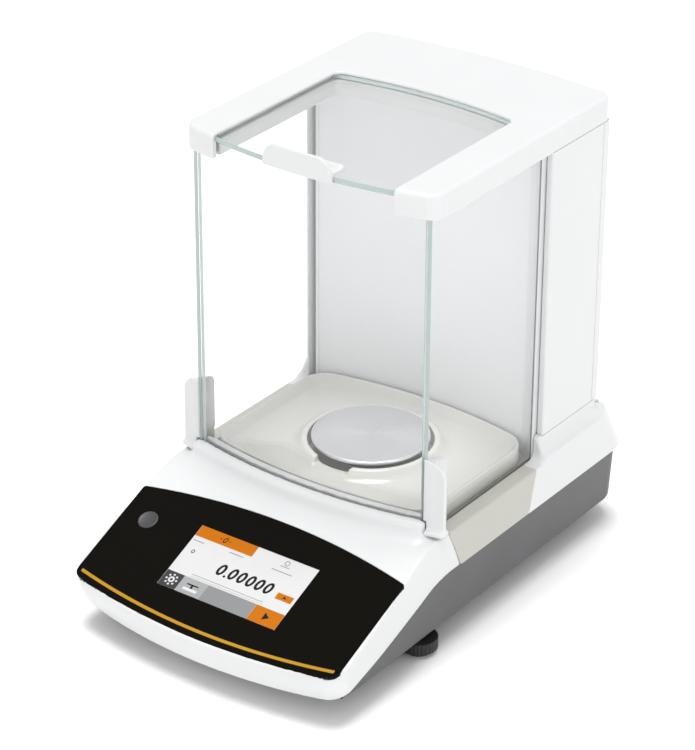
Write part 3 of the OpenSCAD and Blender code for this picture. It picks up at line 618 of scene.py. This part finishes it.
def roof_shape(x, y, z):
    ax, r = np.abs(x), bow(x, y)
    plan = np.maximum(rmax(disc(x, y, 0, ROOF_C, PANE_R), ax - TOWER_HW, 8.5), tower_plan(x, y, 9))
    d = rmax(rmax(plan, z - ROOF_TOP, 3.2), ROOF_LOW - z, 0.8)
    d = cut(d, rmax(rmax(ax - OPENING_HW, disc(x, y, 0, OPENING_C, OPENING_R), 5), 300 - z, 0.3), 1.3)
    d = cut(d, rmax(rmax(slab(ax, 0, 72.7), slab(z, 314.2, 318.0), 0.2), -56 - y, 0.2), 0.25)
    d = cut(d, rmax(rmax(slab(ax, *GROOVE_X), z - 309.8, 0.2), -53.2 - y, 0.2), 0.25)
    front = rmax(slab(r, PANE_R - 3.2, PANE_R + 0.2), ax - CHAMBER_HW, 0.2)
    return cut(d, rmax(front, z - 313.6, 0.2), 0.25)


solid("roof_moulding", roof_shape, across((62, 2.4), (75, 0.6), (86, 1.2), (99, 0.6)),
      axis((-69.5, -45, 0.6), (-45, 66, 2.5), (66, 82, 0.6), (82, 138, 2.5), (138, 156, 0.6)),
      axis((302, 306, 0.6), (306, 313, 1.0), (313, 321, 0.5)),
      "chassis", WHITE, "roof_frame")

# ---------------------------------------------------------------- door handles
GRIP_IN, GRIP_OUT = 90.7, 105.3    # blade of a side door's handle
GRIP_REAR = -33.8
GRIP_LOW = 83.9


def handle_shape(s):
    """A blade across the glass's front edge, a fin along its outer face and a toe over the lip."""
    def f(x, y, z):
        out = x * s
        v = y - (out - GRIP_IN) * 0.2
        r = bow(x, y)
        blade = rmax(rmax(-54.2 - v, v + 51.2, 1.1), rmax(GRIP_IN - out, out - GRIP_OUT, 0.2), 1.0)
        fin = rmax(rmax(DOOR_X + 0.05 - out, out - 95.6, 0.6), rmax(-50 - y, y - GRIP_REAR, 1.5), 1.0)
        top = z - 137.4 + (out - DOOR_X) * 0.2 + (y + 54) * 0.27
        cap = rmax(rmax(top, out - GRIP_OUT, 9.5), y - GRIP_REAR, 5)
        d = rmax(rmin(blade, fin, 5), cap, 1.2)
        toe = rmax(rmax(rmax(r - 376.1, 368 - r, 1.5), rmax(92.9 - out, out - GRIP_OUT, 0.5), 1.2),
                   slab(z, GRIP_LOW, 87.4), 1.5)
        d = rmax(rmin(d, toe, 2.2), GRIP_LOW - z, 0.8)
        d = cut(d, rmax(slab(out, 85, DOOR_X), -52.05 - y, 0.1), 0.25)
        return cut(d, rmax(out - 92.9, z - 93.3, 0.3), 0.3)
    return f


for s, side in SIDES:
    solid(side + "_door_grip", handle_shape(s), side_axis(s, 88, 107.5, 0.45),
          axis((-63, -48, 0.5), (-48, -32.4, 0.8)), axis((83, 96, 0.5), (96, 120, 1.2), (120, 143, 0.5)),
          side + "_door", WHITE, side + "_door_handle")

LID_GRIP_LOW, LID_GRIP_TOP, LID_GRIP_REAR_R = 313.2, 329.0, 358.2


def top_grip(x, y, z):
    """A plate before the glass's front edge, on a low foot that lies on the glass."""
    r = bow(x, y)
    edge = np.abs(x) - 27 + np.clip(z - 313, 0, 20) * 0.2
    plate = rmax(rmax(slab(r, LID_OUT_R, LID_OUT_R + 2.8), rmax(edge, z - LID_GRIP_TOP, 8), 1.0),
                 LID_GRIP_LOW - z, 1.0)
    back = rmax(rmax(slab(r, LID_GRIP_REAR_R, 361.8), edge, 1.7), slab(z, LID_Z, 320.4), 0.9)
    foot = rmax(rmax(slab(r, LID_GRIP_REAR_R, 373), edge, 4.0), slab(z, LID_Z, 319.2), 0.4)
    d = rmin(rmin(plate, foot, 3.0), back, 3.0)
    d = rmax(d, LID_GRIP_LOW - z, 0.8)
    return cut(d, rmax(r - LID_OUT_R, z - LID_Z, 0.1), 0.2)


solid("top_door_grip", top_grip, across((16, 1.5), (28.5, 0.45)), axis((-68.5, -46, 0.45)),
      axis((311.5, 330.5, 0.45)), "top_door", WHITE, "top_door_handle")

# ---------------------------------------------------------------- base
BASE_Z = 14.0                  # underside
BASE_HW = 105.5                # at the seam; the sides lean in towards the underside
WHEEL_X, WHEEL_Y = 93.0, -60.0
REAR_FOOT_X, REAR_FOOT_Y = 68.0, 150.0
SCREW_X, SCREW_Y = 70.0, (-40.0, 128.0)


def base_openings(x, y, z):
    """Each opening in the underside and back, with the round of its edge."""
    for s in (-1, 1):
        yield rmax(disc(x, y, s * WHEEL_X, WHEEL_Y, 14.75), z - 15.2, 0.1), 0.4
        yield rmax(disc(x, y, s * WHEEL_X, WHEEL_Y, 6.5), z - 32, 0.1), 0.3
        yield rmax(disc(x, y, s * REAR_FOOT_X, REAR_FOOT_Y, 9.2), z - 15.5, 0.1), 0.3
        for sy in SCREW_Y:
            yield rmax(disc(x, y, s * SCREW_X, sy, 3.2), z - 30, 0.1), 0.3
    yield rmax(disc(x, y, 0, PAN_Y, 12), z - 16.8, 0.1), 0.3
    yield rmax(rmax(slab(x, -74, -4), slab(z, 26, 50), 1), 158 - y, 0.3), 0.4


def base_shape(x, y, z):
    side = np.abs(x) - (BASE_HW - 2.3 * (SEAM_Z - z) / 31)
    d = rmax(side, disc(x, y, 0, BASE_C, REAR_R), 17)
    d = rmax(d, BASE_Z - z, 5)
    d = rmax(d, (BASE_Z - (y + 132) * 0.12 - z) * 0.99, 1.0)
    d = rmax(d, above_sweep(y, z + 0.3), 0.6)
    d = rmax(d, z - SEAM_Z + 0.2, 0.6)
    d = rmax(d, incline(y, z, -150, BASE_Z, -2.6, -6) + 0.3, 1.0)
    for opening, edge in base_openings(x, y, z):
        d = cut(d, opening, edge)
    return d


solid("base_shell", base_shape, across((60, 2.4), (78, 0.9), (107.5, 1.0)),
      axis((-157, -140, 0.8), (-140, -80, 2.0), (-80, -30, 1.1), (-30, 120, 2.5), (120, 182, 1.1)),
      axis((12.5, 20, 0.7), (20, 54, 1.2), (54, 58, 0.6)),
      "chassis", DARK, "lower_housing")

# ---------------------------------------------------------------- chamber floor with its side rails
JOINT_GAP = 0.15


def deck_shape(x, y, z):
    ax, r = np.abs(x), bow(x, y)
    rail = rmax(side_wall(ax, z), z - SHOULDER_Z, 1.2)
    rail = rmax(rail, SEAM_Z + 0.1 - z, 0.5)
    rail = rmax(rail, JOINT_GAP - front_joint(y, z), 0.3)
    rail = rmax(rail, JOINT_GAP + rear_joint(y, z), 0.3)
    rail = cut(rail, rmax(ax - CHAMBER_HW, DECK_Z - z, 0.3), 0.5)
    rail = cut(rail, rmax(ax - 99.5, z - 73, 0.3), 0.5)
    plan = rmax(r - LIP_R + 0.3, disc(x, y, 0, BAY_C, BAY_R - 0.2), 0.3)
    deck = rmax(rmax(slab(z, DECK_Z - DECK_T, DECK_Z), ax - CHAMBER_HW + 0.2, 0.3), plan, 0.3)
    d = cut(np.minimum(rail, deck), groove(ax, z), 0.3)
    return cut(d, disc(x, y, 0, PAN_Y, 13), 0.3)


solid("chamber_deck", deck_shape, across((16, 1.0), (84, 3.0), (109, 0.7)),
      axis((-56, -30, 0.7), (-30, 0, 1.5), (0, 30, 1.0), (30, 92, 0.9)),
      axis((56, 72, 1.0), (72, 84, 0.6)), "chassis", CREAM, "chamber_base")

# ---------------------------------------------------------------- tower sides
TOWER_Z = (99.45, 302.95)
SEAM_LINE_Y = 136.0   # fine line down each side


def tower_shape(s):
    def f(x, y, z):
        out = x * s
        d = rmax(rmax(92.45 - out, out - TOWER_HW, 0.5), disc(x, y, 0, TOWER_C, REAR_R), 5.0)
        d = rmax(rmax(d, TOWER_Y - y, 1.4), slab(z, *TOWER_Z), 0.35)
        return cut(d, rmax(97.0 - out, slab(y, SEAM_LINE_Y - 0.4, SEAM_LINE_Y + 0.4), 0.1), 0.2)
    return f


for s, side in SIDES:
    solid(side + "_tower_skin", tower_shape(s), side_axis(s, 91, 99, 0.4),
          axis((73.6, 78, 0.4), (78, 134, 2.0), (134, 154, 0.4)),
          axis((98.6, 101, 0.4), (101, 301, 5.0), (301, 304, 0.4)),
          "chassis", WHITE, "tower_side_" + side)

# ---------------------------------------------------------------- glass panes
CHAMFER = 0.35
FOLD = 0.5        # a fold sharper than this, in radians, is an edge of the pane
FLAT_ON = 0.93    # faces nearer than this to a pane's flat direction are clear


def pane_piece(name, cols, thick, body, node, ends=None, chamfer=CHAMFER):
    """A pane from columns (outer low, outer high, inner low, inner high), chamfered all round."""
    bm = bmesh.new()
    rows = [[bm.verts.new(p) for p in c] for c in cols]
    for a, b in zip(rows, rows[1:]):
        for i, j in ((0, 1), (1, 3), (3, 2), (2, 0)):
            bm.faces.new((a[i], a[j], b[j], b[i]))
    for c in (rows[0], rows[-1]):
        bm.faces.new((c[0], c[1], c[3], c[2]))
    bmesh.ops.recalc_face_normals(bm, faces=bm.faces)
    bm.normal_update()
    sharp = [e for e in bm.edges if e.calc_face_angle(0) > FOLD]
    bmesh.ops.bevel(bm, geom=sharp, offset=chamfer, offset_type="OFFSET", segments=1, profile=0.5,
                    affect="EDGES")
    bmesh.ops.recalc_face_normals(bm, faces=bm.faces)
    bm.normal_update()
    for f in bm.faces:
        t = Vector(thick(f.calc_center_median())).normalized()
        f.material_index = 0 if abs(f.normal.dot(t)) > FLAT_ON else 1
        if ends and f.material_index and (abs(f.normal.x) > 0.9 or f.normal.y > 0.5):
            f.material_index = 2
    bmesh.ops.scale(bm, vec=(MM, MM, MM), verts=bm.verts)
    me = bpy.data.meshes.new(name)
    bm.to_mesh(me)
    bm.free()
    me.shade_smooth()
    me.set_sharp_from_angle(angle=math.radians(20))
    return finish_piece(name, me, body, [GLASS, EDGE] + ([ends] if ends else []), node)


DOOR_Y = (-52, 79.94)
DOOR_Z = (77, 309)


def door_column(s, y):
    return [(s * X, y, z) for X in (DOOR_X, DOOR_X - PANE_T) for z in DOOR_Z]


for s, side in SIDES:
    pane_piece(side + "_door_pane", [door_column(s, y) for y in DOOR_Y], lambda p: (1, 0, 0),
               side + "_door", side + "_door_glass")


def box_piece(name, lo, hi, body, mat):
    bm = bmesh.new()
    bmesh.ops.create_cube(bm, size=1.0)
    for v in bm.verts:
        v.co = Vector([(lo[c] + hi[c]) / 2 + v.co[c] * (hi[c] - lo[c]) for c in range(3)]) * MM
    me = bpy.data.meshes.new(name)
    bm.to_mesh(me)
    bm.free()
    return finish_piece(name, me, body, mat)


STRIP_X, STRIP_Y, STRIP_Z = (91.98, 92.2), (70.2, 79.8), (77.3, 308.7)

for s, side in SIDES:
    near, far = sorted(s * X for X in STRIP_X)
    box_piece(side + "_door_rear_strip", (near, STRIP_Y[0], STRIP_Z[0]), (far, STRIP_Y[1], STRIP_Z[1]),
              side + "_door", SEAL)

FRONT_HW, FRONT_Z, FRONT_COLUMNS = 88.2, (85.3, 313.6), 48


def front_column(x):
    ys = [FRONT_C - math.sqrt(r * r - x * x) for r in (PANE_R, PANE_R - PANE_T)]
    return [(x, y, z) for y in ys for z in FRONT_Z]


front_x = [FRONT_HW * (2 * i / FRONT_COLUMNS - 1) for i in range(FRONT_COLUMNS + 1)]
pane_piece("front_pane", [front_column(x) for x in front_x], lambda p: (p.x, p.y - FRONT_C, 0),
           "chassis", "front_glass", PALE_EDGE)

LID_HW, LID_TONGUE_HW = 72.4, 68.8    # in the grooves, and where its front edge is bowed
LID_SHOULDER_Y = -55.0
LID_REAR_C, LID_REAR_R = -250.5, 330.0
LID_COLUMNS = 40


def top_column(x):
    bowed = abs(x) < LID_TONGUE_HW
    y0 = FRONT_C - math.sqrt(LID_OUT_R ** 2 - x * x) if bowed else LID_SHOULDER_Y
    y1 = LID_REAR_C + math.sqrt(LID_REAR_R ** 2 - x * x)
    return [(x, y, z) for z in (LID_Z, LID_Z - PANE_T) for y in (y0, y1)]


inner, outer = LID_TONGUE_HW - 0.05, LID_TONGUE_HW + 0.05
bowed_x = [inner * (2 * i / LID_COLUMNS - 1) for i in range(LID_COLUMNS + 1)]
lid_x = [-LID_HW, -outer] + bowed_x + [outer, LID_HW]
pane_piece("top_pane", [top_column(x) for x in lid_x], lambda p: (0, 0, 1), "top_door", "top_door_glass",
           PALE_EDGE, chamfer=0.3)

# ---------------------------------------------------------------- pan
PAN_RIM = [(PAN_R, 93.6), (39.7, 93.1), (39.3, 93.0), (38.9, 93.1), (38.6, 94.2)]
PAN_HUB = [(16, 94.2), (10, 91), (10, 86.2), (6.05, 86.2), (6.05, 93.6), (0, 93.6)]
pan_face = [(r, PAN_TOP) for r in (0, 12, 24, 34, 38.8)]
lathe("brushed_pan", pan_face + arc(PAN_R - 1.2, PAN_TOP - 1.2, 1.2, 84, 0) + PAN_RIM + PAN_HUB,
      (0, PAN_Y), "pan", PAN, "weighing_pan")


# ---------------------------------------------------------------- the screen's picture
def prisms(name, shapes, mats, body):
    """Thin closed prisms lying on the panel, each a (material, outline, floor, top)."""
    bm = bmesh.new()
    for m, pts, w0, w1 in shapes:
        low = [bm.verts.new(on_panel(u, v, w0)) for u, v in pts]
        high = [bm.verts.new(on_panel(u, v, w1)) for u, v in pts]
        fs = [bm.faces.new(high), bm.faces.new(low[::-1])]
        n = len(pts)
        fs += [bm.faces.new((low[i], low[(i + 1) % n], high[(i + 1) % n], high[i])) for i in range(n)]
        for f in fs:
            f.material_index = m
    bmesh.ops.recalc_face_normals(bm, faces=bm.faces)
    me = bpy.data.meshes.new(name)
    bm.to_mesh(me)
    bm.free()
    return finish_piece(name, me, body, mats)


INK = (-0.085, -0.06)         # heights of the marks
GROUND = (-0.098, -0.088)     # heights of the tiles under them
ORANGE, GREY, TILE, DARKINK, LIGHT, DARKTILE = range(6)
UI_MATERIALS = [UI_ORANGE, UI_GREY, UI_TILE, UI_INK, UI_LIGHT, UI_DARK]
SLANT = 0.15
DIGIT_U, DIGIT_V, DIGIT_PITCH = -3.8, -37.3, 7.1
STRIP_V = (-63.5, -51.0)      # the row of keys along the bottom


def tile(m, u0, u1, v0, v1):
    return [(m, [(u0, v0), (u1, v0), (u1, v1), (u0, v1)], *GROUND)]


def bar(m, u0, u1, v0, v1):
    return [(m, [(u0, v0), (u1, v0), (u1, v1), (u0, v1)], *INK)]


def dot(m, u, v, r, n=20):
    turns = [2 * math.pi * i / n for i in range(n)]
    return [(m, [(u + r * math.cos(t), v + r * math.sin(t)) for t in turns], *INK)]


def ring(m, u, v, rx, ry, stroke, lean=0.0, n=28):
    """An oval outline as short joined prisms."""
    out = []
    for i in range(n):
        a, b = 2 * math.pi * i / n, 2 * math.pi * (i + 1) / n
        pts = []
        for c, k in ((a, 0), (b, 0), (b, stroke), (a, stroke)):
            pu, pv = (rx - k) * math.cos(c), (ry - k) * math.sin(c)
            pts.append((u + pu + lean * pv, v + pv))
        out.append((m, pts, *INK))
    return out


def digit(u):
    return ring(DARKINK, u, DIGIT_V, 2.95, 4.7, 1.9, SLANT)


ui = tile(ORANGE, -47.1, -1.0, -20.4, -11.6) + tile(ORANGE, 32.5, 45.0, -42.3, -37.2)
ui += tile(DARKTILE, -47.1, -33.1, *STRIP_V) + tile(TILE, -33.0, -14.0, *STRIP_V)
ui += tile(GREY, -13.9, 24.9, *STRIP_V) + tile(ORANGE, 25.0, 47.1, *STRIP_V)
# zero key
ui += ring(DARKINK, -25.0, -16.0, 1.5, 2.3, 0.7, SLANT)
ui += dot(DARKINK, -28.6, -16.0, 0.5) + dot(DARKINK, -21.4, -16.0, 0.5)
# reading
ui += digit(-13.1) + dot(DARKINK, -8.6, -41.2, 0.95)
for k in range(5):
    ui += digit(DIGIT_U + DIGIT_PITCH * k)
# unit key's arrow
ui += [(DARKINK, [(37.0, -40.4), (40.4, -40.4), (38.7, -38.6)], *INK)]
# tare key, status ring and small plain bars
ui += ring(GREY, 24.6, -15.6, 2.0, 2.0, 0.6) + bar(GREY, 21.0, 28.2, -18.9, -18.4)
ui += ring(DARKINK, -40.2, -32.3, 1.3, 1.5, 0.55)
ui += bar(GREY, -46, -37, -24.2, -23.6) + bar(GREY, -17, -6, -23.4, -22.8)
ui += bar(GREY, 17, 33, -23.2, -22.6)
ui += bar(GREY, -29.7, 27.7, -48.3, -47.9) + bar(GREY, -29.7, 27.7, -50.0, -49.8)
# menu key: two rings of dots
for a in (1.7, 3.9):
    for b in range(8):
        t = b * math.pi / 4
        ui += dot(LIGHT, -40.0 + a * math.cos(t), -57.2 + a * math.sin(t), 0.75, 12)
# dish icon and start arrow
ui += bar(LIGHT, -29.0, -18.0, -60.6, -58.6) + bar(DARKINK, -28.0, -19, -56.2, -55.2)
ui += bar(DARKINK, -24.3, -22.7, -58.6, -56.2)
ui += [(DARKINK, [(34.2, -60.2), (38.6, -57.2), (34.2, -54.2)], *INK)]
prisms("screen_graphics", ui, UI_MATERIALS, "chassis")

# ---------------------------------------------------------------- power key
KEY_DISH = [(0, -0.25), (2.5, -0.2), (4.6, -0.02), (5.7, 0.18), (6.2, 0.3), (6.6, 0.3), (6.95, 0.1)]
KEY_STEM = [(7.0, -0.2), (7.0, -2.4), (3.0, -2.4), (3.0, -6.0), (0, -6.0)]
key_cap = lathe("power_key_cap", KEY_DISH + KEY_STEM, (0, 0), "power_key", KEY,
                "power_button", n=96)
key_cap.data.transform(Matrix.Translation(on_panel(KEY_U, KEY_V, 0)) @ Matrix.Rotation(TILT, 4, "X"))

# ---------------------------------------------------------------- camera
cam = bpy.data.cameras.new("camera")
cam_o = bpy.data.objects.new("camera", cam)
bpy.context.scene.collection.objects.link(cam_o)
cam_o.location = (1.01563, -1.41759, 1.06508)
cam_o.rotation_euler = (math.radians(62.23), 0, math.radians(36.46))
cam.sensor_width = 36
cam.lens = 144.59136
cam.shift_x = 0.03905333
cam.shift_y = -0.00138667
cam.clip_start = 0.05
cam.clip_end = 60
bpy.context.scene.camera = cam_o
bpy.context.scene.view_settings.view_transform = "Standard"

# ---------------------------------------------------------------- floor
FLOOR = 9.0    # half its width, in metres
floor_me = bpy.data.meshes.new("floor")
floor_me.from_pydata([(-FLOOR, -FLOOR, 0), (FLOOR, -FLOOR, 0), (FLOOR, FLOOR, 0), (-FLOOR, FLOOR, 0)], [],
                     [(0, 1, 2, 3)])
floor = bpy.data.objects.new("floor", floor_me)
bpy.context.scene.collection.objects.link(floor)
floor_me.materials.append(material("floor", (0.96, 0.96, 0.96), 0.9, Specular_IOR_Level=0.0))

# ---------------------------------------------------------------- light, in metres and watts
world = bpy.data.worlds.new("world")
bpy.context.scene.world = world
world.use_nodes = True
world.node_tree.nodes["Background"].inputs["Color"].default_value = (1, 1, 1, 1)
world.node_tree.nodes["Background"].inputs["Strength"].default_value = 0.70


def place_light(data, direction, location=(0, 0, 0)):
    o = bpy.data.objects.new(data.name, data)
    bpy.context.scene.collection.objects.link(o)
    o.location = location
    o.rotation_euler = direction.to_track_quat("-Z", "Y").to_euler()
    return o


def lamp(name, location, target, size, power):
    """A soft box that the camera doesn't see."""
    d = bpy.data.lights.new(name, "AREA")
    d.shape = "RECTANGLE"
    d.size, d.size_y = size
    d.energy = power
    o = place_light(d, Vector(target) - Vector(location), location)
    o.visible_camera = False


sun = bpy.data.lights.new("overhead", "SUN")
sun.energy = 2.3
sun.angle = math.radians(26)
place_light(sun, Vector((0.05, -0.02, -1.0)))
lamp("front fill", (0.3, -2.5, 0.9), (0, 0, 0.15), (2.0, 1.2), 10)
lamp("right fill", (2.5, -0.3, 0.6), (0, 0, 0.15), (2.0, 1.2), 12)
